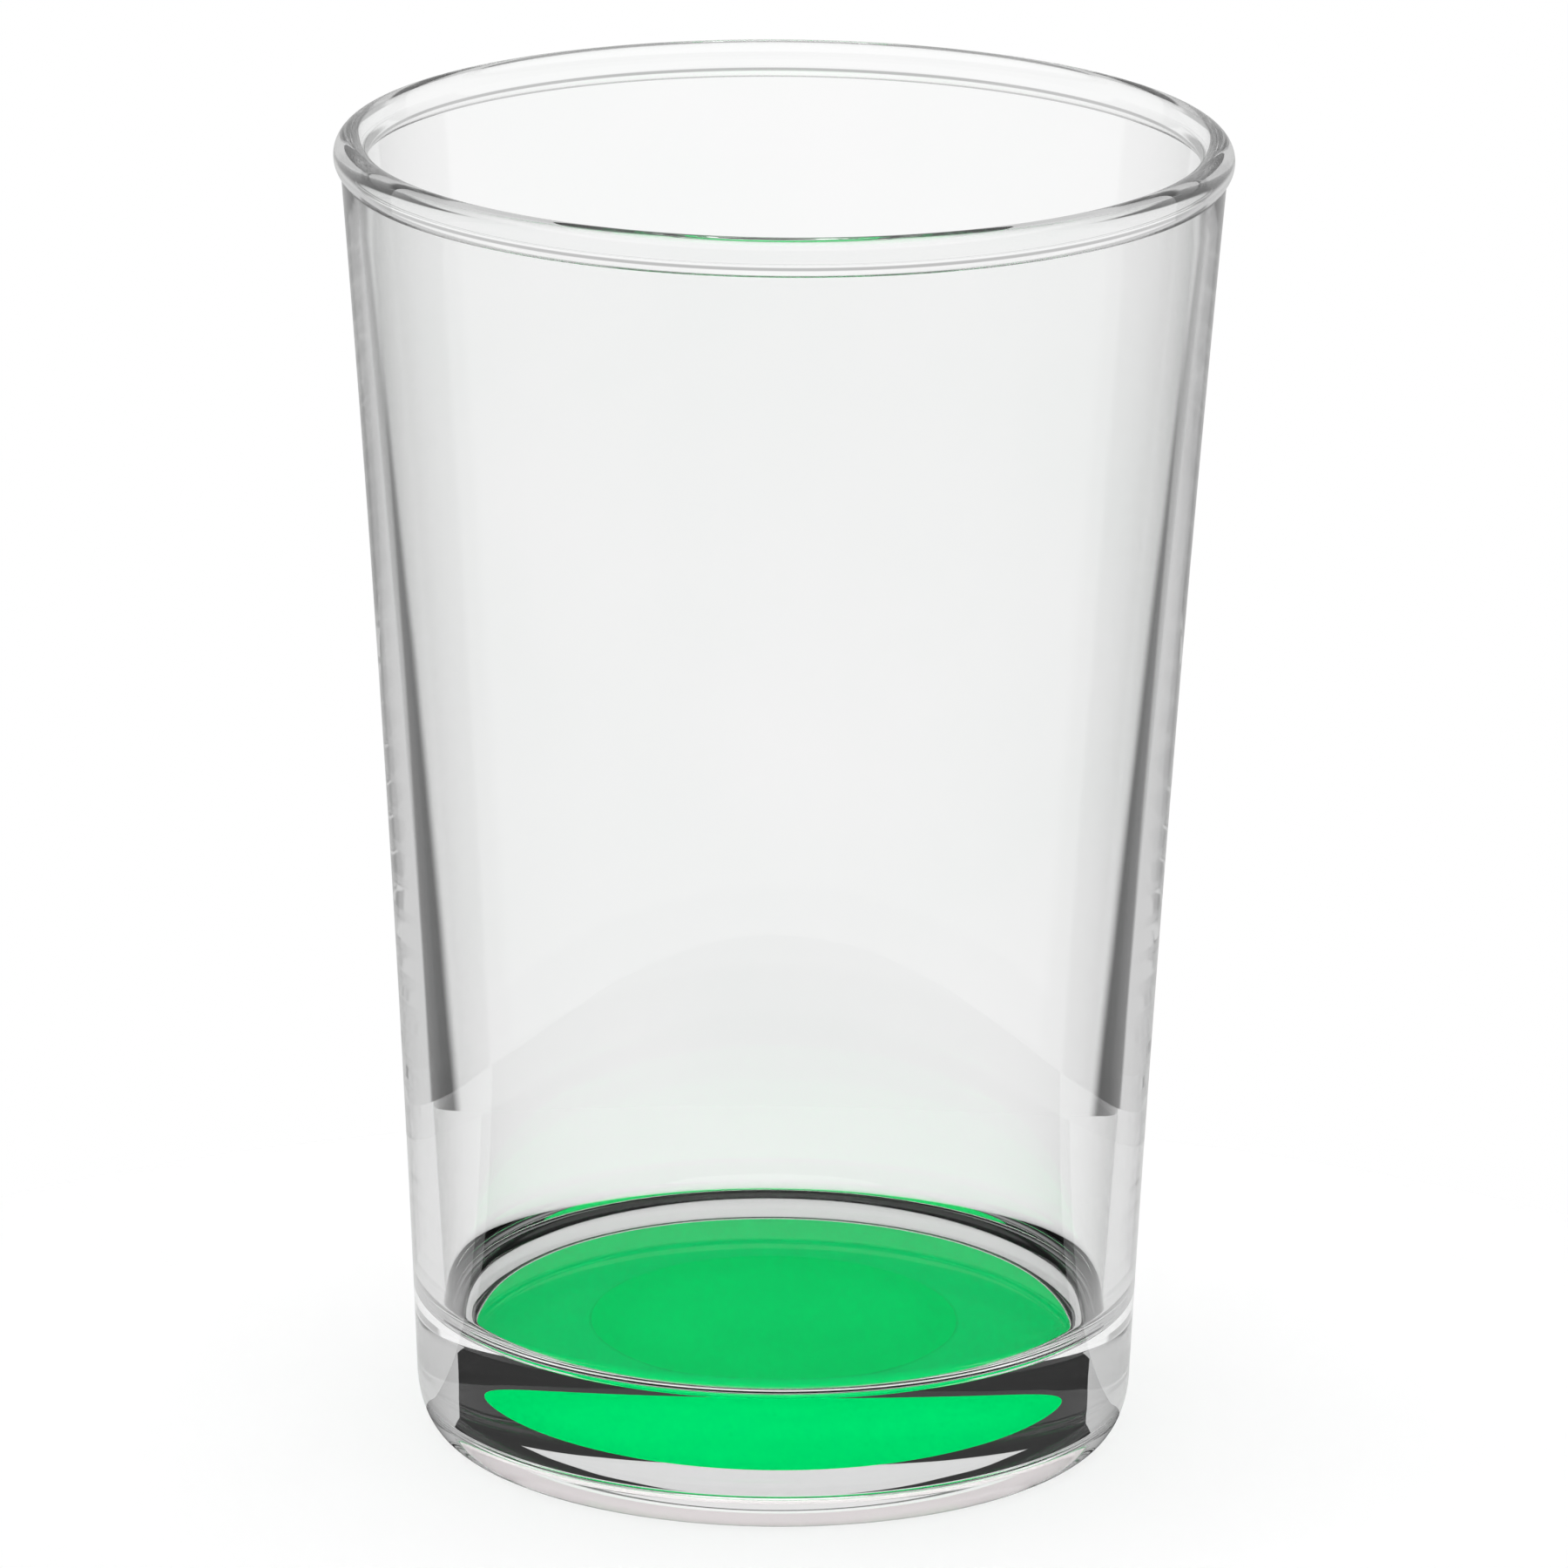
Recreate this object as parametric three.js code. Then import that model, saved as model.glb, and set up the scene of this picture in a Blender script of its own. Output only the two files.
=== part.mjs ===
// Tasting glass: a small tapered tumbler with a beaded rim, a thick clear base and a colour coat under it.
// Millimetres, +Z up. The origin is the centre of the foot, on the surface that the glass stands on.
import * as THREE from 'three';

// Driving dimensions of the glass
const GLASS_HEIGHT = 90.5; // foot to the top of the rim
const RIM_DIAMETER = 60.3; // outside of the bead
const BEAD_WIDTH = 2.3; // bead, across the wall
const BEAD_HEIGHT = 2.6; // bead, along the wall
const BEAD_OVERHANG = 0.5; // how far the bead stands outside the wall under it
const RIM_WALL = 0.8; // wall thickness under the bead
const BASE_WALL = 2.0; // wall thickness above the floor's fillet
const WALL_HOLLOW = 0.4; // how far the wall's middle lies inside a straight taper
const BASE_DIAMETER = 49.1; // outside, where the round heel starts
const HEEL_HEIGHT = 4.0; // foot to the start of the round heel
const FOOT_DIAMETER = 45.2; // outer edge of the bearing ring
const BEARING_WIDTH = 1.2; // flat ring that the glass stands on
const PUNT_DEPTH = 2.1; // recess under the base
const PUNT_DRAFT = 0.4; // how far the recess closes in on its way up
const FLOOR_HEIGHT = 9.0; // inside floor above the foot
const FLOOR_FILLET = 2.0; // radius between the floor and the wall

// Driving dimensions of the colour coat
const COAT_THICKNESS = 0.4;
const COAT_MARGIN = 0.3; // bare glass between the coat and the side of the recess

// Fineness of the round surfaces
const TURN_STEPS = 72;
const WALL_STEPS = 12;
const HEEL_STEPS = 8;
const BEAD_STEPS = 5; // on each of the bead's four stretches
const FILLET_STEPS = 8;

// Radii and heights that follow from the sizes above
const quarterTurn = Math.PI / 2;
const rimRadius = RIM_DIAMETER / 2;
const baseRadius = BASE_DIAMETER / 2;
const footRadius = FOOT_DIAMETER / 2;
const wallTopRadius = rimRadius - BEAD_OVERHANG;
const beadRadius = rimRadius - BEAD_WIDTH / 2;
const beadHeight = GLASS_HEIGHT - BEAD_HEIGHT / 2;
const puntMouthRadius = footRadius - BEARING_WIDTH;
const puntRadius = puntMouthRadius - PUNT_DRAFT;

// The bead is an ellipse, and the wall meets it at these two angles, measured from straight outwards.
const beadOuterAngle = -Math.acos((wallTopRadius - beadRadius) / (BEAD_WIDTH / 2));
const beadInnerAngle = 2 * Math.PI - Math.acos((wallTopRadius - RIM_WALL - beadRadius) / (BEAD_WIDTH / 2));
const wallTopHeight = beadHeight + (BEAD_HEIGHT / 2) * Math.sin(beadOuterAngle);
const innerWallTopHeight = beadHeight + (BEAD_HEIGHT / 2) * Math.sin(beadInnerAngle);
const filletTopHeight = FLOOR_HEIGHT + FLOOR_FILLET;

// Points on an ellipse in the (radius, height) plane, both ends included.
function ellipseArc(centreRadius, centreHeight, halfWidth, halfHeight, fromAngle, toAngle, steps) {
  const points = [];
  for (let i = 0; i <= steps; i += 1) {
    const angle = fromAngle + ((toAngle - fromAngle) * i) / steps;
    const radius = centreRadius + halfWidth * Math.cos(angle);
    const height = centreHeight + halfHeight * Math.sin(angle);
    points.push(new THREE.Vector2(radius, height));
  }
  return points;
}

// Outside of the wall: a straight taper, drawn in a little at mid-height.
function outerRadius(height) {
  const share = (height - HEEL_HEIGHT) / (wallTopHeight - HEEL_HEIGHT);
  const hollow = WALL_HOLLOW * 4 * share * (1 - share);
  return THREE.MathUtils.lerp(baseRadius, wallTopRadius, share) - hollow;
}

// Inside of the wall: the outside less a thickness that grows towards the base.
function innerRadius(height) {
  const share = (height - filletTopHeight) / (innerWallTopHeight - filletTopHeight);
  return outerRadius(height) - THREE.MathUtils.lerp(BASE_WALL, RIM_WALL, share);
}

// Points up or down a wall, without its two ends, which belong to the arcs beside it.
function wallPoints(radiusAt, fromHeight, toHeight) {
  const points = [];
  for (let i = 1; i < WALL_STEPS; i += 1) {
    const height = THREE.MathUtils.lerp(fromHeight, toHeight, i / WALL_STEPS);
    points.push(new THREE.Vector2(radiusAt(height), height));
  }
  return points;
}

// The bead, in four stretches that meet at its widest, highest and innermost points.
function beadPoints() {
  const stops = [beadOuterAngle, 0, quarterTurn, 2 * quarterTurn, beadInnerAngle];
  const points = [];
  for (let i = 1; i < stops.length; i += 1) {
    const stretch = ellipseArc(
      beadRadius, beadHeight, BEAD_WIDTH / 2, BEAD_HEIGHT / 2, stops[i - 1], stops[i], BEAD_STEPS,
    );
    points.push(...stretch.slice(i === 1 ? 0 : 1));
  }
  return points;
}

// A profile in the (radius, height) plane, turned about the vertical axis.
function turned(profile, material, name) {
  const geometry = new THREE.LatheGeometry(profile, TURN_STEPS);
  geometry.rotateX(Math.PI / 2);
  const mesh = new THREE.Mesh(geometry, material);
  mesh.name = name;
  return mesh;
}

// The one-piece glass: recess, bearing ring, heel, wall, bead, inside wall and floor.
function glassBody() {
  const filletRadius = innerRadius(filletTopHeight) - FLOOR_FILLET;
  const heelWidth = baseRadius - footRadius;
  const profile = [
    new THREE.Vector2(0, PUNT_DEPTH),
    new THREE.Vector2(puntRadius, PUNT_DEPTH),
    new THREE.Vector2(puntMouthRadius, 0),
    ...ellipseArc(footRadius, HEEL_HEIGHT, heelWidth, HEEL_HEIGHT, -quarterTurn, 0, HEEL_STEPS),
    ...wallPoints(outerRadius, HEEL_HEIGHT, wallTopHeight),
    ...beadPoints(),
    ...wallPoints(innerRadius, innerWallTopHeight, filletTopHeight),
    ...ellipseArc(filletRadius, filletTopHeight, FLOOR_FILLET, FLOOR_FILLET, 0, -quarterTurn, FILLET_STEPS),
    new THREE.Vector2(0, FLOOR_HEIGHT),
  ];
  const clearGlass = new THREE.MeshStandardMaterial({
    color: 0xeef2f2, roughness: 0.03, metalness: 0, transparent: true, opacity: 0.35,
  });
  return turned(profile, clearGlass, 'glass_body');
}

// The green colour coat: a thin round layer on the roof of the recess, clear of the table.
function baseColourCoat() {
  const coatRadius = puntRadius - COAT_MARGIN;
  const underside = PUNT_DEPTH - COAT_THICKNESS;
  const profile = [
    new THREE.Vector2(0, underside),
    new THREE.Vector2(coatRadius, underside),
    new THREE.Vector2(coatRadius, PUNT_DEPTH),
    new THREE.Vector2(0, PUNT_DEPTH),
  ];
  const greenCoat = new THREE.MeshStandardMaterial({ color: 0x00cd66, roughness: 0.35, metalness: 0 });
  return turned(profile, greenCoat, 'base_colour_coat');
}

const tastingGlass = new THREE.Group();
tastingGlass.add(glassBody(), baseColourCoat());

export default tastingGlass;
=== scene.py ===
# %% [markdown]
# # A tasting glass with a green base
#
# The object is a small pressed tumbler. One piece of clear glass makes its beaded rim, its thin tapered
# wall and its thick base, and an opaque green coat lies on the roof of the shallow recess under that
# base. The CAD model gives the sizes and stays where it is. It is made of flat facets, and glass shows
# every facet, because light bends at each one, so both pieces are turned again here with a much finer
# surface.

# %% Load the fixed frame
import math

import bmesh
import bpy
from mathutils import Matrix, Vector


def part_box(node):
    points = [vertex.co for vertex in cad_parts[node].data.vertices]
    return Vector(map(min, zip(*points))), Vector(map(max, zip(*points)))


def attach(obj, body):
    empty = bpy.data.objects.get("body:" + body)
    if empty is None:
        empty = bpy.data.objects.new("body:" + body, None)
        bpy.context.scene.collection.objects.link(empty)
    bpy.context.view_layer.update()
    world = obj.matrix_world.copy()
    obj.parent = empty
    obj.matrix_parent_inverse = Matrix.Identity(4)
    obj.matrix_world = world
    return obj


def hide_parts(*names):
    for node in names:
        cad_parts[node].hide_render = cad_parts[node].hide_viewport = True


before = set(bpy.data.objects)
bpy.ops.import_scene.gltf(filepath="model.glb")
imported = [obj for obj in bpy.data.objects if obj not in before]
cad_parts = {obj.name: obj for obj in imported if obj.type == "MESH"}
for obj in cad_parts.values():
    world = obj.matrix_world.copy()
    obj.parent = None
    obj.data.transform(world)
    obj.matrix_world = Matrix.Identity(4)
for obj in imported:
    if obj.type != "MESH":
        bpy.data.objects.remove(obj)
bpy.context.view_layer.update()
MM = 0.001

# %% [markdown]
# ## Sizes
#
# A turned solid is known by its section: a line in the (radius, height) plane that is spun about the
# axis. The overall sizes come from the frame's own boxes. The smaller ones are the same named sizes, in
# millimetres, that the CAD model is drawn from, because a box can't tell a wall's thickness or the radius
# of a fillet.

# %% Sizes of the glass and of the coat
glass_low, glass_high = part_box("glass_body")
coat_low, coat_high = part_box("base_colour_coat")
GLASS_HEIGHT = glass_high.z / MM
RIM_RADIUS = glass_high.x / MM
PUNT_DEPTH = coat_high.z / MM
COAT_UNDERSIDE = coat_low.z / MM
COAT_RADIUS = coat_high.x / MM
BEAD_WIDTH = 2.3
BEAD_HEIGHT = 2.6
BEAD_OVERHANG = 0.5
RIM_WALL = 0.8
BASE_WALL = 2.0
WALL_HOLLOW = 0.4
BASE_RADIUS = 24.55
HEEL_HEIGHT = 4.0
FOOT_RADIUS = 22.6
BEARING_WIDTH = 1.2
PUNT_DRAFT = 0.4
FLOOR_HEIGHT = 9.0
FLOOR_FILLET = 2.0
print(f"glass {GLASS_HEIGHT:.2f} mm tall, rim {2 * RIM_RADIUS:.2f} mm across")
print(f"coat {2 * COAT_RADIUS:.2f} mm across, on a roof {PUNT_DEPTH:.2f} mm above the table")

# %% [markdown]
# ## Curves of the section
#
# Molten glass has no sharp corners: surface tension rounds each one. The section could be drawn by hand
# as a list of points, but then nobody could change it. It is put together from two curves instead, an arc
# of an ellipse and a small round between two straight runs.

# %% Helpers for the section
ROUND_STEPS = 8


def arc(centre, half_width, half_height, start, stop, steps):
    """Points on an ellipse, both ends included. Angles are in degrees from straight outwards."""
    points = []
    for i in range(steps + 1):
        angle = math.radians(start + (stop - start) * i / steps)
        radius = centre[0] + half_width * math.cos(angle)
        height = centre[1] + half_height * math.sin(angle)
        points.append((radius, height))
    return points


def rounded(before, corner, after, reach):
    """A soft corner between two straight runs, which starts and ends at reach from the sharp one."""
    corner = Vector(corner)
    first = corner + (Vector(before) - corner).normalized() * reach
    last = corner + (Vector(after) - corner).normalized() * reach
    points = []
    for i in range(ROUND_STEPS + 1):
        t = i / ROUND_STEPS
        point = first * (1 - t) ** 2 + corner * 2 * t * (1 - t) + last * t ** 2
        points.append((point.x, point.y))
    return points


print("points in a soft corner:", ROUND_STEPS + 1)

# %% [markdown]
# ## The wall
#
# Outside, the wall is a straight taper drawn in slightly at mid-height. Inside, it follows the outside
# less a thickness that grows from the rim down to the base, as it does on a glass that was pressed over a
# plunger. That growing thickness is what makes the dark lines along the glass's sides widen on their way
# down. A plain cone inside a plain cone would be quicker, but its edge lines would stay equally wide all
# the way.

# %% Radii of the wall
bead_centre = (RIM_RADIUS - BEAD_WIDTH / 2, GLASS_HEIGHT - BEAD_HEIGHT / 2)
wall_top_radius = RIM_RADIUS - BEAD_OVERHANG
outer_join = (wall_top_radius - bead_centre[0]) / (BEAD_WIDTH / 2)
inner_join = (wall_top_radius - RIM_WALL - bead_centre[0]) / (BEAD_WIDTH / 2)
bead_start = -math.degrees(math.acos(outer_join))
bead_stop = 360 - math.degrees(math.acos(inner_join))
wall_top = bead_centre[1] + BEAD_HEIGHT / 2 * math.sin(math.radians(bead_start))
inner_wall_top = bead_centre[1] + BEAD_HEIGHT / 2 * math.sin(math.radians(bead_stop))
fillet_top = FLOOR_HEIGHT + FLOOR_FILLET


def outer_radius(height):
    share = (height - HEEL_HEIGHT) / (wall_top - HEEL_HEIGHT)
    straight = BASE_RADIUS + (wall_top_radius - BASE_RADIUS) * share
    return straight - WALL_HOLLOW * 4 * share * (1 - share)


def inner_radius(height):
    share = (height - fillet_top) / (inner_wall_top - fillet_top)
    return outer_radius(height) - BASE_WALL - (RIM_WALL - BASE_WALL) * share


def wall(radius_at, start, stop, steps):
    """Points along a wall, without its two ends, which belong to the arcs beside it."""
    heights = [start + (stop - start) * i / steps for i in range(1, steps)]
    return [(radius_at(height), height) for height in heights]


inside_radii = [round(inner_radius(height), 2) for height in (fillet_top, inner_wall_top)]
print("inside radius at the fillet and at the rim, mm:", inside_radii)

# %% [markdown]
# ## The glass's section
#
# The line starts on the axis under the base, runs out along the recess's roof, down to the bearing ring,
# round the heel, up the wall, over the bead, down inside and back to the axis along the floor. Smooth
# shading leans the normals wherever two rings of points lie far apart, which would bend a flat face. A
# ring close beside each round holds the roof and the floor flat.

# %% Draw the section of the glass
CORNER_ROUND = 0.45
FLAT_HOLD = 0.2
HEEL_STEPS = 32
WALL_STEPS = 70
BEAD_STEPS = 56
FILLET_STEPS = 28


def glass_section():
    mouth = (FOOT_RADIUS - BEARING_WIDTH, 0.0)
    roof_corner = (mouth[0] - PUNT_DRAFT, PUNT_DEPTH)
    roof_centre = (0.0, PUNT_DEPTH)
    bearing_edge = (FOOT_RADIUS, 0.0)
    heel_centre = (FOOT_RADIUS, HEEL_HEIGHT)
    heel_width = BASE_RADIUS - FOOT_RADIUS
    floor_radius = inner_radius(fillet_top) - FLOOR_FILLET
    fillet_centre = (floor_radius, fillet_top)
    hold = roof_corner[0] - CORNER_ROUND - FLAT_HOLD
    points = [roof_centre, (hold / 2, PUNT_DEPTH), (hold, PUNT_DEPTH)]
    points += rounded(roof_centre, roof_corner, mouth, CORNER_ROUND)
    points += rounded(roof_corner, mouth, bearing_edge, CORNER_ROUND)
    points += arc(heel_centre, heel_width, HEEL_HEIGHT, -90, 0, HEEL_STEPS)
    points += wall(outer_radius, HEEL_HEIGHT, wall_top, WALL_STEPS)
    points += arc(bead_centre, BEAD_WIDTH / 2, BEAD_HEIGHT / 2, bead_start, bead_stop, BEAD_STEPS)
    points += wall(inner_radius, inner_wall_top, fillet_top, WALL_STEPS)
    points += arc(fillet_centre, FLOOR_FILLET, FLOOR_FILLET, 0, -90, FILLET_STEPS)
    flat_radii = [floor_radius - FLAT_HOLD, floor_radius / 2, 0.0]
    points += [(radius, FLOOR_HEIGHT) for radius in flat_radii]
    return points


print("points in the glass's section:", len(glass_section()))

# %% [markdown]
# ## Turning a section
#
# Blender has a Screw modifier and a spin operator for turned parts. Here the rings are written out as a
# mesh, which gives one shared point on the axis instead of a heap of doubled ones, and quads everywhere
# else.

# %% Helper that turns a section into a mesh
SHARP_ANGLE = 40.0


def ring_of_points(builder, radius, height, steps):
    """One ring about the axis, or a single point where the section meets the axis."""
    ring = []
    for k in range(steps if radius > 0 else 1):
        angle = 2 * math.pi * k / steps
        place = (radius * math.cos(angle) * MM, radius * math.sin(angle) * MM, height * MM)
        ring.append(builder.verts.new(place))
    return ring


def turned(name, section, steps):
    builder = bmesh.new()
    rings = [ring_of_points(builder, radius, height, steps) for radius, height in section]
    for lower, upper in zip(rings, rings[1:]):
        for k in range(steps):
            corners = [lower[k % len(lower)], lower[(k + 1) % len(lower)]]
            corners += [upper[(k + 1) % len(upper)], upper[k % len(upper)]]
            builder.faces.new(list(dict.fromkeys(corners)))
    bmesh.ops.recalc_face_normals(builder, faces=builder.faces)
    mesh = bpy.data.meshes.new(name)
    builder.to_mesh(mesh)
    builder.free()
    mesh.shade_smooth()
    mesh.set_sharp_from_angle(angle=math.radians(SHARP_ANGLE))
    piece = bpy.data.objects.new(name, mesh)
    bpy.context.scene.collection.objects.link(piece)
    print(f"{name}: {len(mesh.polygons)} faces, {len(section)} rings of {steps}")
    return piece


print(f"edges that bend by more than {SHARP_ANGLE:.0f} degrees stay sharp")

# %% [markdown]
# ## The glass
#
# On the real thing, rim, wall and base are one piece of glass, pressed in a mould and fire-polished, so
# one mesh makes them all. The turned piece stands in for the faceted CAD solid, which stays in the frame
# for collision and mass.

# %% Turn the glass
TURN_STEPS = 256
glass = turned("clear_tumbler", glass_section(), TURN_STEPS)
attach(glass, "root")
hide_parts("glass_body")

# %% [markdown]
# ## Does the new section follow the CAD model?
#
# Some sizes are written here a second time. To notice one that was changed in one place only, the CAD
# model's own points are measured against the new section. Corners that were rounded here may lie a little
# off it.

# %% Measure the CAD model against the section
ON_PLANE = 1e-6


def distance_to_section(point, section):
    nearest = math.inf
    for start, stop in zip(section, section[1:]):
        a = Vector(start)
        run = Vector(stop) - a
        share = max(0.0, min(1.0, (point - a).dot(run) / run.length_squared))
        nearest = min(nearest, (point - a - run * share).length)
    return nearest


cad_points = {
    (round(v.co.x / MM, 3), round(v.co.z / MM, 3))
    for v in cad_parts["glass_body"].data.vertices
    if abs(v.co.y) < ON_PLANE and v.co.x > -ON_PLANE
}
worst = max(distance_to_section(Vector(point), glass_section()) for point in cad_points)
print(f"{len(cad_points)} CAD points lie within {worst:.3f} mm of the section")

# %% [markdown]
# ## The green coat
#
# The coat is a film on the roof of the recess. Where it is bonded, nothing but paint lies under the
# glass, and the green shows from every side. Towards its rim the film lets go by a hair's breadth. Light
# that comes in through the side then turns back at the thin air gap and never meets the paint, so from
# the side the green ends in a lens shape with clear glass around it, while from above the whole disc
# shows. Sinking the bonded part slightly into the glass is how a renderer is told that there is no air
# between the two.

# %% Turn the coat
BOND_RADIUS = 12.5
BOND_EDGE = 0.4
BOND_SINK = 0.03
BOND_STEPS = 4
AIR_GAP = 0.08
COAT_RIM_STEPS = 10
COAT_TURN_STEPS = 192


def coat_top(radius):
    """Height of the coat's upper face: sunk where it is bonded, an air gap lower where it is loose."""
    loose = max(0.0, min(1.0, (radius - BOND_RADIUS) / BOND_EDGE))
    return PUNT_DEPTH + BOND_SINK - (BOND_SINK + AIR_GAP) * loose


def coat_section():
    rim_top = coat_top(COAT_RADIUS)
    rim_centre = (COAT_RADIUS - AIR_GAP, (COAT_UNDERSIDE + rim_top) / 2)
    half_height = (rim_top - COAT_UNDERSIDE) / 2
    points = [(0.0, COAT_UNDERSIDE), (COAT_RADIUS / 2, COAT_UNDERSIDE)]
    points += arc(rim_centre, AIR_GAP, half_height, -90, 90, COAT_RIM_STEPS)
    inward = [COAT_RADIUS - 2 * AIR_GAP, (COAT_RADIUS + BOND_RADIUS) / 2]
    inward += [BOND_RADIUS + BOND_EDGE * i / BOND_STEPS for i in range(BOND_STEPS, -1, -1)]
    inward += [BOND_RADIUS / 2, 0.0]
    points += [(radius, coat_top(radius)) for radius in inward]
    return points


coat = turned("green_base_coat", coat_section(), COAT_TURN_STEPS)
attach(coat, "root")
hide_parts("base_colour_coat")

# %% [markdown]
# ## Placing nodes
#
# Materials, the floor and the world are all node trees. One helper adds a node, sets its properties and
# feeds its sockets with plain values or with links. The small helpers after it are the few sums that
# every tree here is made of, which keeps each material short enough to read at a glance.

# %% Helpers that add nodes
def add_node(tree, kind, settings=None, feeds=None):
    node = tree.nodes.new(kind)
    for label, value in (settings or {}).items():
        setattr(node, label, value)
    for socket, value in (feeds or {}).items():
        if isinstance(value, bpy.types.NodeSocket):
            tree.links.new(value, node.inputs[socket])
        else:
            node.inputs[socket].default_value = value
    return node


def math_node(tree, operation, first, second=0.0):
    return add_node(tree, "ShaderNodeMath", {"operation": operation}, {0: first, 1: second}).outputs[0]


def blend_values(tree, share, first, second):
    feeds = {"Factor": share, "A": first, "B": second}
    return add_node(tree, "ShaderNodeMix", {"data_type": "FLOAT"}, feeds).outputs["Result"]


def blend_colours(tree, share, first, second):
    node = add_node(tree, "ShaderNodeMix", {"data_type": "RGBA"}, {0: share, 6: first, 7: second})
    return node.outputs[2]


def smooth_step(tree, value, low, high):
    feeds = {"Value": value, "From Min": low, "From Max": high}
    node = add_node(tree, "ShaderNodeMapRange", {"interpolation_type": "SMOOTHSTEP"}, feeds)
    return node.outputs["Result"]


def split_axes(tree, vector):
    return add_node(tree, "ShaderNodeSeparateXYZ", None, {"Vector": vector}).outputs


def object_position(tree):
    return add_node(tree, "ShaderNodeTexCoord").outputs["Object"]


def new_material(name):
    material = bpy.data.materials.new(name)
    material.use_nodes = True
    return material, material.node_tree, material.node_tree.nodes["Principled BSDF"]


print("materials before the finishes:", len(bpy.data.materials))

# %% [markdown]
# ## Shared effects
#
# Neither finish is perfectly even. Pressed glass and a poured coat both have slow ripples, left when they
# set, and a faint mottle. The nodes could be copied from one material to the next. As a node group each
# effect is built once and placed with its own scale, and a change to it reaches every place that it is
# used.

# %% Helpers for node groups
def new_group(name, inputs, output):
    group = bpy.data.node_groups.new(name, "ShaderNodeTree")
    for label, kind in inputs.items():
        group.interface.new_socket(label, in_out="INPUT", socket_type=kind)
    group.interface.new_socket(output, in_out="OUTPUT", socket_type="NodeSocketFloat")
    entry = group.nodes.new("NodeGroupInput")
    leave = group.nodes.new("NodeGroupOutput")
    return group, entry.outputs, leave.inputs


def place_group(tree, group, feeds):
    return add_node(tree, "ShaderNodeGroup", {"node_tree": group}, feeds).outputs[0]


print("node groups so far:", len(bpy.data.node_groups))

# %% [markdown]
# ## Ripple
#
# Glass that sets against a mould keeps slow waves, drawn out along the way that it flowed. A wave texture
# would look combed, so a low noise makes them, squeezed along the axis to stretch it. The group puts out
# a height, and each material turns that into normals with a Bump node of its own.

# %% Build the ripple group
RIPPLE_DETAIL = 1.5
RIPPLE_ROUGHNESS = 0.4


def ripple_group():
    inputs = {"Position": "NodeSocketVector", "Scale": "NodeSocketFloat", "Stretch": "NodeSocketFloat"}
    group, entry, leave = new_group("set_ripple", inputs, "Height")
    squeeze = math_node(group, "DIVIDE", 1.0, entry["Stretch"])
    axes = add_node(group, "ShaderNodeCombineXYZ", None, {"X": 1.0, "Y": 1.0, "Z": squeeze})
    drawn = add_node(
        group, "ShaderNodeVectorMath", {"operation": "MULTIPLY"},
        {0: entry["Position"], 1: axes.outputs["Vector"]},
    )
    noise = add_node(
        group, "ShaderNodeTexNoise", None,
        {
            "Vector": drawn.outputs["Vector"], "Scale": entry["Scale"],
            "Detail": RIPPLE_DETAIL, "Roughness": RIPPLE_ROUGHNESS,
        },
    )
    group.links.new(noise.outputs["Fac"], leave["Height"])
    return group


set_ripple = ripple_group()
print("group:", set_ripple.name, "with", len(set_ripple.nodes), "nodes")

# %% [markdown]
# ## Mottle
#
# Handling dulls a polish in patches, and a poured film is thicker in places. Plain noise stays close to
# its middle grey, so its range is spread to a soft mask that goes all the way from 0 to 1.

# %% Build the mottle group
MOTTLE_DETAIL = 4.0
MOTTLE_ROUGHNESS = 0.55
MOTTLE_SPREAD = (0.35, 0.65)


def mottle_group():
    inputs = {"Position": "NodeSocketVector", "Scale": "NodeSocketFloat"}
    group, entry, leave = new_group("soft_mottle", inputs, "Mask")
    noise = add_node(
        group, "ShaderNodeTexNoise", None,
        {
            "Vector": entry["Position"], "Scale": entry["Scale"],
            "Detail": MOTTLE_DETAIL, "Roughness": MOTTLE_ROUGHNESS,
        },
    )
    mask = smooth_step(group, noise.outputs["Fac"], MOTTLE_SPREAD[0], MOTTLE_SPREAD[1])
    group.links.new(mask, leave["Mask"])
    return group


soft_mottle = mottle_group()
print("group:", soft_mottle.name, "with", len(soft_mottle.nodes), "nodes")

# %% [markdown]
# ## Clear glass
#
# Soda-lime glass bends light by a factor of 1.52 and has next to no colour. The Principled shader does
# that with full transmission and no roughness. What keeps it from looking like a perfect lens is the
# ripple, which bends the normals by a fraction of a degree, and a mottle that dulls the polish in places
# and takes a trace of light away.

# %% Make the glass's material
GLASS_IOR = 1.52
GLASS_POLISH = (0.0, 0.012)
GLASS_TINT_CLEAR = (1.0, 1.0, 1.0, 1.0)
GLASS_TINT_DEEP = (0.985, 0.992, 0.988, 1.0)
GLASS_MOTTLE_SCALE = 45.0
GLASS_RIPPLE = {"Scale": 110.0, "Stretch": 2.5}
GLASS_RIPPLE_STRENGTH = 0.035
GLASS_RIPPLE_DEPTH = 0.4


def rippled_normal(tree, position, ripple, strength, depth):
    """A normal that follows the ripple. The depth is in millimetres."""
    height = place_group(tree, set_ripple, {"Position": position, **ripple})
    feeds = {"Height": height, "Strength": strength, "Distance": depth * MM}
    return add_node(tree, "ShaderNodeBump", None, feeds).outputs["Normal"]


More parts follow.
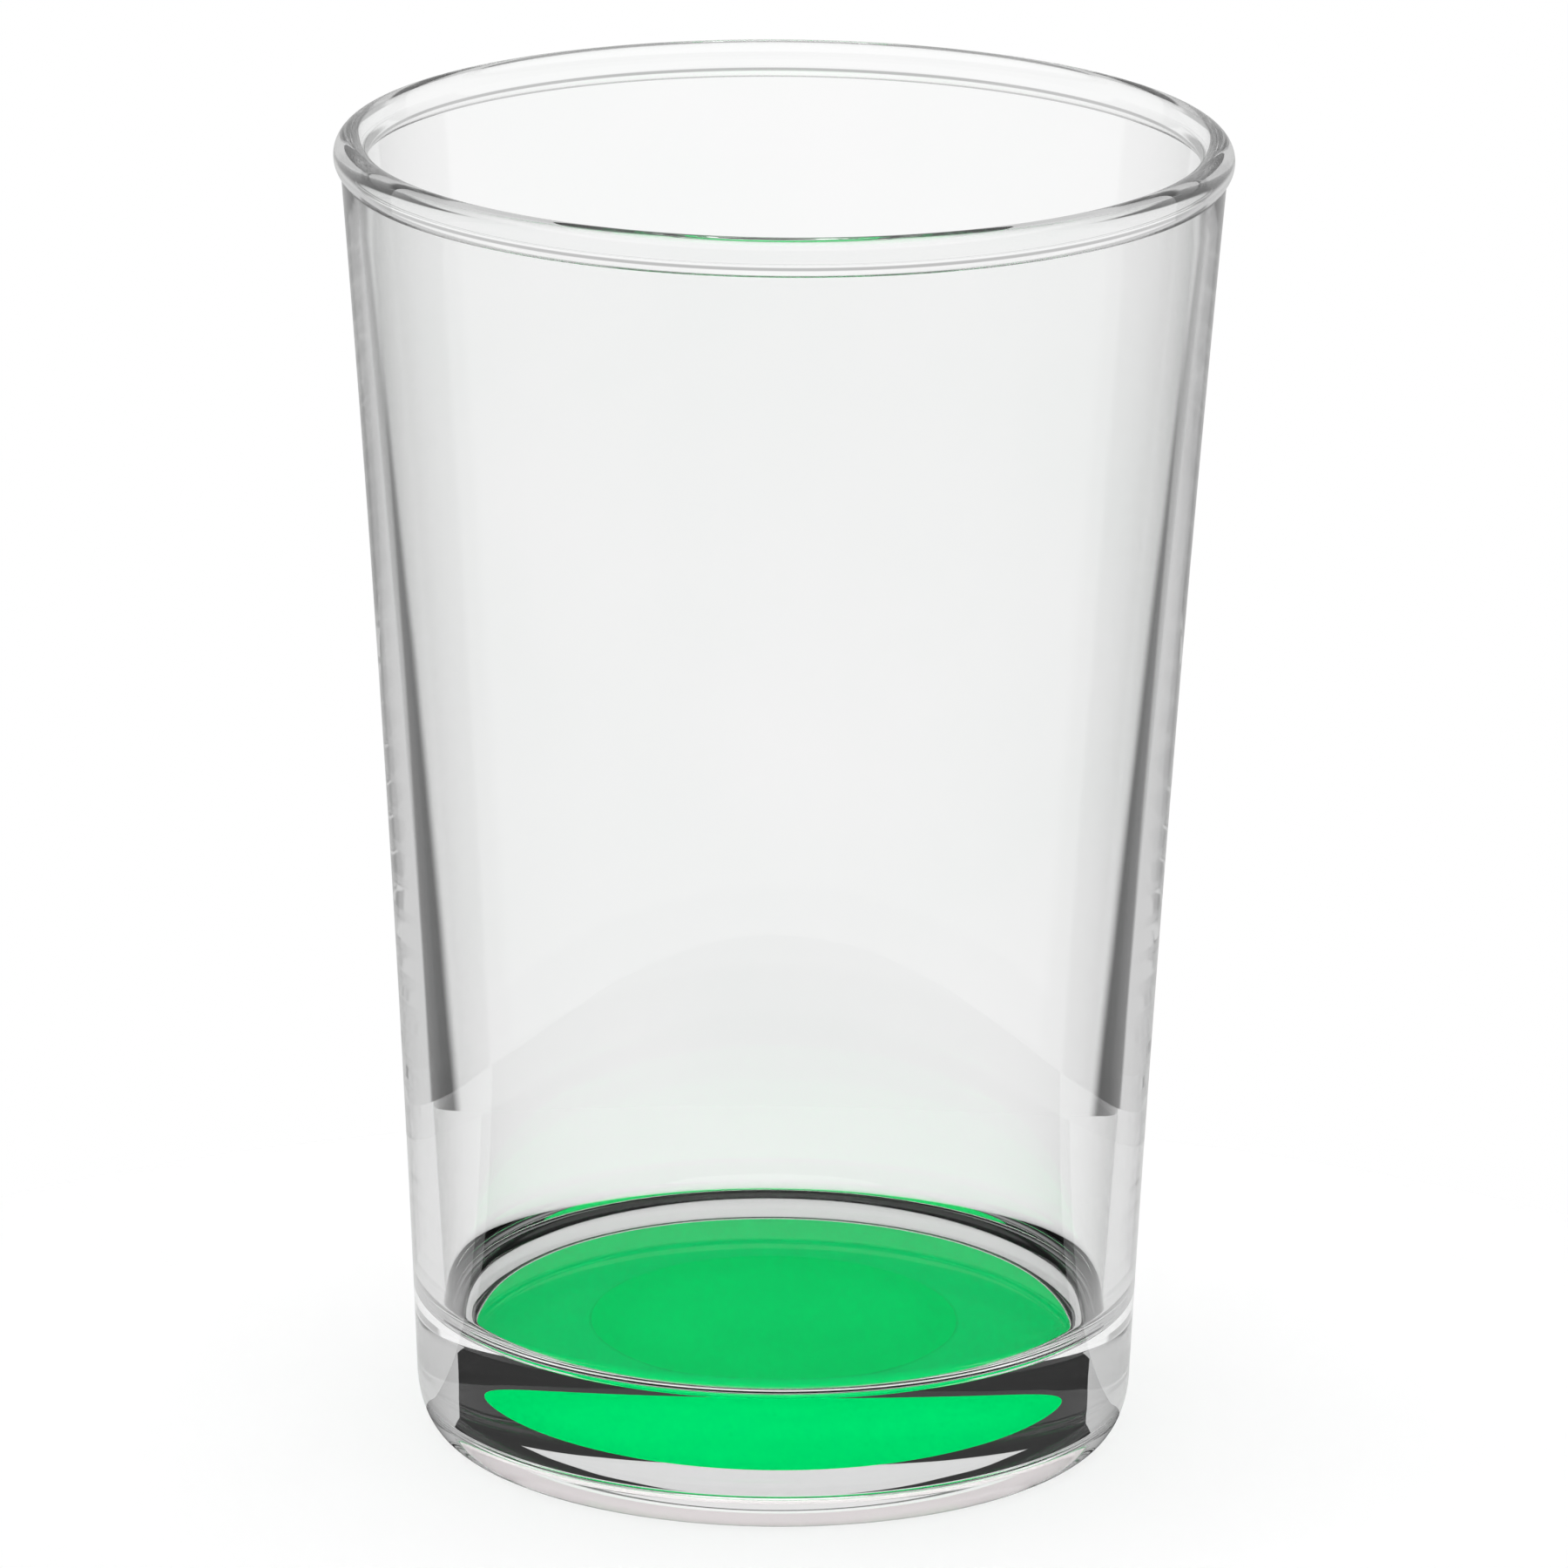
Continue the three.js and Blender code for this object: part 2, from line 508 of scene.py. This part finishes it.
def clear_glass_material():
    material, tree, shader = new_material("clear_glass")
    position = object_position(tree)
    mottle = place_group(tree, soft_mottle, {"Position": position, "Scale": GLASS_MOTTLE_SCALE})
    tint = blend_colours(tree, mottle, GLASS_TINT_CLEAR, GLASS_TINT_DEEP)
    polish = blend_values(tree, mottle, GLASS_POLISH[0], GLASS_POLISH[1])
    normal = rippled_normal(tree, position, GLASS_RIPPLE, GLASS_RIPPLE_STRENGTH, GLASS_RIPPLE_DEPTH)
    tree.links.new(tint, shader.inputs["Base Color"])
    tree.links.new(polish, shader.inputs["Roughness"])
    tree.links.new(normal, shader.inputs["Normal"])
    shader.inputs["IOR"].default_value = GLASS_IOR
    shader.inputs["Transmission Weight"].default_value = 1.0
    return material


glass.data.materials.append(clear_glass_material())
print("glass finish:", glass.data.materials[0].name)

# %% [markdown]
# ## Where the coat changes
#
# The film is bonded in its middle and loose towards its rim. Towards the end of the bond its green is
# darkened as painted shade, and where it is loose it is lightened as painted light. A pale colour on its
# underside and its rim is painted light that brightens the shaded underside, which the heel of the glass
# shows as a light ring. Each of these could be a material slot on its own faces. Masks made from the place
# on the coat do it in one material, with soft edges where the real film has them.

# %% Masks on the coat
BOND_SHADE_FROM = 8.0
# How far up the coat's rim the painted light of the pale backing reaches.
BACKING_PAINTED_LIGHT_DEPTH = 0.05


def coat_masks(tree, position):
    """Three masks: the painted shade near the end of the bond, loose, and the painted light of the pale
    backing.
    """
    axes = split_axes(tree, position)
    level = add_node(tree, "ShaderNodeCombineXYZ", None, {"X": axes["X"], "Y": axes["Y"]})
    length = add_node(tree, "ShaderNodeVectorMath", {"operation": "LENGTH"}, {0: level.outputs["Vector"]})
    radius = length.outputs["Value"]
    # Painted shade: the green darkens from BOND_SHADE_FROM out to the end of the bond.
    painted_shade_near_bond_end = smooth_step(tree, radius, BOND_SHADE_FROM * MM, BOND_RADIUS * MM)
    loose = smooth_step(tree, radius, BOND_RADIUS * MM, (BOND_RADIUS + BOND_EDGE) * MM)
    # Painted light: a pale colour on the underside and the rim, which lie in shade.
    underneath = math_node(tree, "LESS_THAN", axes["Z"], (COAT_UNDERSIDE + BACKING_PAINTED_LIGHT_DEPTH) * MM)
    rim = math_node(tree, "GREATER_THAN", radius, (COAT_RADIUS - AIR_GAP) * MM)
    return painted_shade_near_bond_end, loose, math_node(tree, "MAXIMUM", underneath, rim)


print(f"the film is bonded inside {2 * BOND_RADIUS:.1f} mm and loose out to {2 * COAT_RADIUS:.1f} mm")

# %% [markdown]
# ## Green coat
#
# The coat is an opaque green, seen through the glass like paint behind a window. It has no gloss of its
# own there, because gloss comes from a step between air and paint and the bonded film has none. Thin and
# thick places show as a slow change of tone. A darker green towards the end of the bond is painted shade,
# a lighter green where the film is loose is painted light, and the pale underside and rim are painted
# light as well.

# %% Make the coat's material
COAT_GREEN = (0.0, 0.77, 0.17, 1.0)
COAT_GREEN_DEEP = (0.0, 0.73, 0.16, 1.0)
# Painted shade: the darker green towards the end of the bond.
COAT_GREEN_PAINTED_SHADE = (0.0, 0.69, 0.15, 1.0)
# Painted light: the lighter green where the film is loose behind the air gap.
COAT_GREEN_LOOSE_PAINTED_LIGHT = (0.0, 0.88, 0.22, 1.0)
# Painted light: a pale colour that brightens the shaded underside and rim.
COAT_BACKING_PAINTED_LIGHT = (0.88, 0.83, 0.84, 1.0)
COAT_DULLNESS = (0.55, 0.75)
COAT_MOTTLE_SCALE = 70.0
COAT_RIPPLE = {"Scale": 160.0, "Stretch": 1.0}
COAT_RIPPLE_STRENGTH = 0.1
COAT_RIPPLE_DEPTH = 0.1


def green_coat_material():
    material, tree, shader = new_material("green_coat")
    position = object_position(tree)
    mottle = place_group(tree, soft_mottle, {"Position": position, "Scale": COAT_MOTTLE_SCALE})
    painted_shade_near_bond_end, loose, painted_light_backing = coat_masks(tree, position)
    green = blend_colours(tree, mottle, COAT_GREEN, COAT_GREEN_DEEP)
    # Painted shade near the end of the bond.
    green = blend_colours(tree, painted_shade_near_bond_end, green, COAT_GREEN_PAINTED_SHADE)
    # Painted light where the film is loose.
    green = blend_colours(tree, loose, green, COAT_GREEN_LOOSE_PAINTED_LIGHT)
    # Painted light on the underside and the rim.
    green = blend_colours(tree, painted_light_backing, green, COAT_BACKING_PAINTED_LIGHT)
    dullness = blend_values(tree, mottle, COAT_DULLNESS[0], COAT_DULLNESS[1])
    normal = rippled_normal(tree, position, COAT_RIPPLE, COAT_RIPPLE_STRENGTH, COAT_RIPPLE_DEPTH)
    tree.links.new(green, shader.inputs["Base Color"])
    tree.links.new(dullness, shader.inputs["Roughness"])
    tree.links.new(normal, shader.inputs["Normal"])
    shader.inputs["Specular IOR Level"].default_value = 0.0
    return material


coat.data.materials.append(green_coat_material())
print("coat finish:", coat.data.materials[0].name)

# %% [markdown]
# ## The floor
#
# The glass stands on a small white sheet in a white room. The sheet is only as large as the glass needs:
# past its edge the room is just as white to the camera, and the glass can show the darker parts of the
# room. It reaches further to the front than to the back. So the glass mirrors the part in front, which is
# kept dark for that, and still shows the boards of the room past the back edge.

# %% Lay the floor
FLOOR_RADIUS = 88.0
FLOOR_FORWARD = 22.0
FLOOR_DROP = 0.01
FLOOR_TURN_STEPS = 96
floor_radii = [0.0, FLOOR_RADIUS / 2, FLOOR_RADIUS]
floor = turned("white_sheet", [(radius, -FLOOR_DROP) for radius in floor_radii], FLOOR_TURN_STEPS)
floor.location.y = -FLOOR_FORWARD * MM
print("floor:", floor.name, f"{2 * FLOOR_RADIUS:.0f} mm across")

# %% [markdown]
# ## Counting what a ray has met
#
# The Light Path node counts how often a ray has been mirrored or has crossed glass. Going in and out of
# one wall counts two crossings, so four mean that the ray went through the near and the far wall. The
# sheet and the room both ask these questions, because what a ray has met tells which part of the glass it
# shows.

# %% Questions about a ray
CROSSINGS_OF_BOTH_WALLS = 4


def at_least(tree, count, times):
    """1 for rays whose count has come to a whole number of times, 0 for the others."""
    return math_node(tree, "GREATER_THAN", count, times - 0.5)


def crossed_both_walls(tree, rays):
    return at_least(tree, rays["Transmission Depth"], CROSSINGS_OF_BOTH_WALLS)


def was_mirrored(tree, rays):
    return at_least(tree, rays["Glossy Depth"], 1)


print("crossings that mean both walls:", CROSSINGS_OF_BOTH_WALLS)

# %% [markdown]
# ## White paper
#
# The sheet gives off most of its white by itself, less a soft shade close to the glass, which is found by
# how much of the sky each spot can see. Rays that were mirrored on their way find the sheet dimmer. What
# lies in front of the glass's axis is black to them, because a bright sheet there would lie as a grey veil
# over the green.

# %% Make the paper
PAPER = (0.20, 0.21)
PAPER_MOTTLE_SCALE = 20.0
PAPER_GLOW = 0.80
MIRRORED_GLOW = 0.54
SHADE_REACH = 25.0
SHADE_DEPTH = 0.15
WHITE = (1.0, 1.0, 1.0, 1.0)


def kept_dark(tree, position, rays, mirrored):
    """1 for mirrored rays that meet the sheet in front of the axis or have crossed both walls."""
    in_front = math_node(tree, "LESS_THAN", split_axes(tree, position)["Y"], FLOOR_FORWARD * MM)
    either = math_node(tree, "MAXIMUM", in_front, crossed_both_walls(tree, rays))
    return math_node(tree, "MULTIPLY", either, mirrored)


def contact_shade(tree):
    feeds = {"Distance": SHADE_REACH * MM}
    sky = add_node(tree, "ShaderNodeAmbientOcclusion", None, feeds).outputs["AO"]
    return blend_values(tree, sky, 1.0 - SHADE_DEPTH, 1.0)


def white_sheet_material():
    material, tree, shader = new_material("white_sheet")
    position = object_position(tree)
    rays = add_node(tree, "ShaderNodeLightPath").outputs
    mirrored = was_mirrored(tree, rays)
    dark = kept_dark(tree, position, rays, mirrored)
    mottle = place_group(tree, soft_mottle, {"Position": position, "Scale": PAPER_MOTTLE_SCALE})
    paper = blend_values(tree, mottle, PAPER[0], PAPER[1])
    paper = blend_values(tree, dark, paper, 0.0)
    glow = blend_values(tree, mirrored, PAPER_GLOW, MIRRORED_GLOW)
    glow = blend_values(tree, dark, glow, 0.0)
    glow = math_node(tree, "MULTIPLY", glow, contact_shade(tree))
    tree.links.new(paper, shader.inputs["Base Color"])
    tree.links.new(glow, shader.inputs["Emission Strength"])
    shader.inputs["Emission Color"].default_value = WHITE
    shader.inputs["Roughness"].default_value = 1.0
    shader.inputs["Specular IOR Level"].default_value = 0.0
    return material


floor.data.materials.append(white_sheet_material())
print("floor finish:", floor.data.materials[0].name)

# %% [markdown]
# ## The room behind the glass
#
# Clear glass has almost no look of its own: it shows the room, bent. Photographers put white behind it
# and dark boards beside that white, and the boards come back as the dark lines that draw the glass's
# edges. Boards could stand here as objects, but they would shade the floor and show in other views. A
# world shader does the same by direction alone: only rays that met the glass see boards, which stand at
# every eighth of a turn, so that the glass is drawn from any side. Rays that crossed only one piece of
# glass, the bead or the solid base, are bent most. To them the boards are paler, and a grey band over the
# horizon draws fine lines along the bead.

# %% What shows straight through the glass
BEHIND_WHITE = 1.0
BOARD_LEVEL = 0.03
PALE_BOARD_LEVEL = 0.5
BOARD_SPACING = 22.5
BOARD_FROM = 13.0
BOARD_SOFTNESS = 1.5
GREY_BAND = (8.0, 18.0)
GREY_BAND_LEVEL = 0.55
HEIGHT_SOFTNESS = 2.0


def between(tree, value, low, high, softness):
    """1 between two values and 0 outside them, with soft edges."""
    rise = smooth_step(tree, value, low - softness, low + softness)
    fall = smooth_step(tree, value, high - softness, high + softness)
    return math_node(tree, "SUBTRACT", rise, fall)


def straight_through(tree, turn, height, low_down, both_walls):
    """White, with soft-edged dark boards to both sides. Angles are in degrees."""
    from_white = math_node(tree, "PINGPONG", turn, BOARD_SPACING)
    boards = smooth_step(tree, from_white, BOARD_FROM - BOARD_SOFTNESS, BOARD_FROM + BOARD_SOFTNESS)
    boards = math_node(tree, "MULTIPLY", boards, low_down)
    board_level = blend_values(tree, both_walls, PALE_BOARD_LEVEL, BOARD_LEVEL)
    grey_band = between(tree, height, GREY_BAND[0], GREY_BAND[1], HEIGHT_SOFTNESS)
    grey_band = blend_values(tree, both_walls, grey_band, 0.0)
    white = blend_values(tree, grey_band, BEHIND_WHITE, GREY_BAND_LEVEL)
    return blend_values(tree, boards, white, board_level)


print(f"boards {2 * (BOARD_SPACING - BOARD_FROM):.0f} degrees wide, every {2 * BOARD_SPACING:.0f} degrees")

# %% [markdown]
# ## What the glass mirrors
#
# Some light turns back instead of going through: off the outside, inside the wall and base, or off the
# floor of the glass. In a studio, black cards keep such reflections down, and so they do here. The room
# in front is dark grey, as it is behind a camera, and rays that crossed both walls find the whole room
# dim. Outer boards give the edge lines a sharp side. A dark band above the horizon keeps the floor of the
# glass from veiling the green and darkens the corners of the base.

# %% What shows in reflections
MIRROR_LEVEL = 0.62
FRONT_LEVEL = 0.2
FAR_LEVEL = 0.3
FRONT = (60.0, 110.0)
OUTER_BOARD = (37.0, 75.0)
BAND_LEVEL = 0.04
BASE_BAND = (12.0, 30.0)
BASE_BAND_END = 54.0
FLOOR_BAND = (2.0, 40.0)


def outside_mirror(tree, side):
    """The room to rays that glanced off the outside: grey, and darker in front."""
    in_front = smooth_step(tree, side, FRONT[0], FRONT[1])
    return blend_values(tree, in_front, MIRROR_LEVEL, FRONT_LEVEL)


def inside_mirror(tree, side, height, low_down, both_walls):
    """The room to rays that turned back inside the glass or off its floor."""
    level = blend_values(tree, both_walls, MIRROR_LEVEL, FAR_LEVEL)
    outer_boards = between(tree, side, OUTER_BOARD[0], OUTER_BOARD[1], BOARD_SOFTNESS)
    outer_boards = math_node(tree, "MULTIPLY", outer_boards, low_down)
    level = blend_values(tree, outer_boards, level, BOARD_LEVEL)
    base_band = between(tree, height, BASE_BAND[0], BASE_BAND[1], HEIGHT_SOFTNESS)
    near_middle = math_node(tree, "LESS_THAN", side, BASE_BAND_END)
    base_band = math_node(tree, "MULTIPLY", base_band, near_middle)
    floor_band = between(tree, height, FLOOR_BAND[0], FLOOR_BAND[1], HEIGHT_SOFTNESS)
    band = blend_values(tree, both_walls, base_band, floor_band)
    return blend_values(tree, band, level, BAND_LEVEL)


print(f"mirrored room: {MIRROR_LEVEL} behind, {FRONT_LEVEL} in front, {BAND_LEVEL} in the dark bands")

# %% [markdown]
# ## The room by direction
#
# A direction becomes three angles: the turn about the glass's axis, how far that is to either side, and
# the height over the horizon. The cases above are then put together by what the ray has met. A bright
# ceiling gives the highlights on the bead. To rays that crossed both walls it is dim, because they would
# bring it down onto the green.

# %% Put the directions together
BOARD_HEIGHTS = (-30.0, 5.0)
CEILING_LEVEL = 1.5
CEILING = (40.0, 50.0)


def glass_surroundings(tree, rays):
    """How bright the room is, by direction, to rays that have met the glass."""
    axes = split_axes(tree, add_node(tree, "ShaderNodeTexCoord").outputs["Generated"])
    turn = math_node(tree, "DEGREES", math_node(tree, "ARCTAN2", axes["X"], axes["Y"]))
    side = math_node(tree, "ABSOLUTE", turn)
    height = math_node(tree, "DEGREES", math_node(tree, "ARCSINE", axes["Z"]))
    low_down = between(tree, height, BOARD_HEIGHTS[0], BOARD_HEIGHTS[1], HEIGHT_SOFTNESS)
    both_walls = crossed_both_walls(tree, rays)
    straight = straight_through(tree, turn, height, low_down, both_walls)
    outside = outside_mirror(tree, side)
    inside = inside_mirror(tree, side, height, low_down, both_walls)
    been_inside = at_least(tree, rays["Transmission Depth"], 1)
    mirrored = blend_values(tree, been_inside, outside, inside)
    ceiling = smooth_step(tree, height, CEILING[0], CEILING[1])
    ceiling_level = blend_values(tree, both_walls, CEILING_LEVEL, FAR_LEVEL)
    mirrored = blend_values(tree, ceiling, mirrored, ceiling_level)
    return blend_values(tree, was_mirrored(tree, rays), straight, mirrored)


print(f"boards stand from {BOARD_HEIGHTS[0]:.0f} to {BOARD_HEIGHTS[1]:.0f} degrees over the horizon")

# %% [markdown]
# ## The white room
#
# To the camera and the floor the room is plain white at a strength of 1. Light that reaches the coat has
# crossed the glass, and more of it is lost or caught inside than a renderer can follow, so rays that
# leave the coat find a brighter room. That brings the green back to about its own colour.

# %% Build the room
ROOM_WHITE = 1.0
COAT_LIGHT = 2.9


def white_room():
    room = bpy.data.worlds.new("white_room")
    room.use_nodes = True
    tree = room.node_tree
    rays = add_node(tree, "ShaderNodeLightPath").outputs
    left_coat = at_least(tree, rays["Diffuse Depth"], 1)
    by_glass = blend_values(tree, left_coat, glass_surroundings(tree, rays), COAT_LIGHT)
    met_glass = math_node(tree, "MAXIMUM", rays["Is Transmission Ray"], rays["Is Glossy Ray"])
    strength = blend_values(tree, met_glass, ROOM_WHITE, by_glass)
    background = tree.nodes["Background"]
    background.inputs["Color"].default_value = WHITE
    tree.links.new(strength, background.inputs["Strength"])
    return room


scene = bpy.context.scene
scene.world = white_room()
print("room:", scene.world.name, "with", len(scene.world.node_tree.nodes), "nodes")

# %% [markdown]
# ## Light paths
#
# A ray that enters the rim may run down inside the wall and turn back dozens of times before it leaves.
# With the usual limits such rays end early and draw black lines along the bead, so many more turns are
# allowed.

# %% Allow long paths through the glass
GLASS_BOUNCES = 96
COAT_BOUNCES = 6
scene.cycles.max_bounces = GLASS_BOUNCES
scene.cycles.glossy_bounces = GLASS_BOUNCES
scene.cycles.transmission_bounces = GLASS_BOUNCES
scene.cycles.diffuse_bounces = COAT_BOUNCES
scene.view_settings.view_transform = "Standard"
print("turns allowed in the glass:", scene.cycles.max_bounces)

# %% [markdown]
# ## The camera
#
# The view was worked out from the outline in the photograph: a long lens, about sixteen degrees above the
# horizon, aimed at the middle of the glass and turned by half a degree, since the glass leans that much.
# Lengths are in millimetres and angles in degrees.

# %% Set up the camera
VIEW_DISTANCE = 780.0
VIEW_ELEVATION = 16.395
VIEW_ROLL = 0.523
AIM_POINT = (0.369, 0.0, 45.302)
SENSOR_WIDTH = 36.0
LENS_LENGTH = 263.53
NEAREST = 10.0


def photo_camera():
    elevation = math.radians(VIEW_ELEVATION)
    roll = math.radians(VIEW_ROLL)
    forward = Vector((0.0, math.cos(elevation), -math.sin(elevation)))
    level = Vector((1.0, 0.0, 0.0))
    upright = level.cross(forward)
    right = level * math.cos(roll) + upright * math.sin(roll)
    up = upright * math.cos(roll) - level * math.sin(roll)
    place = (Vector(AIM_POINT) - forward * VIEW_DISTANCE) * MM
    lens = bpy.data.cameras.new("photo_view")
    lens.sensor_width = SENSOR_WIDTH
    lens.lens = LENS_LENGTH
    lens.clip_start = NEAREST * MM
    camera = bpy.data.objects.new("photo_view", lens)
    turn = Matrix((right, up, -forward)).transposed()
    camera.matrix_world = Matrix.Translation(place) @ turn.to_4x4()
    scene.collection.objects.link(camera)
    return camera


scene.camera = photo_camera()
print("camera at, mm:", [round(v / MM, 1) for v in scene.camera.matrix_world.translation])
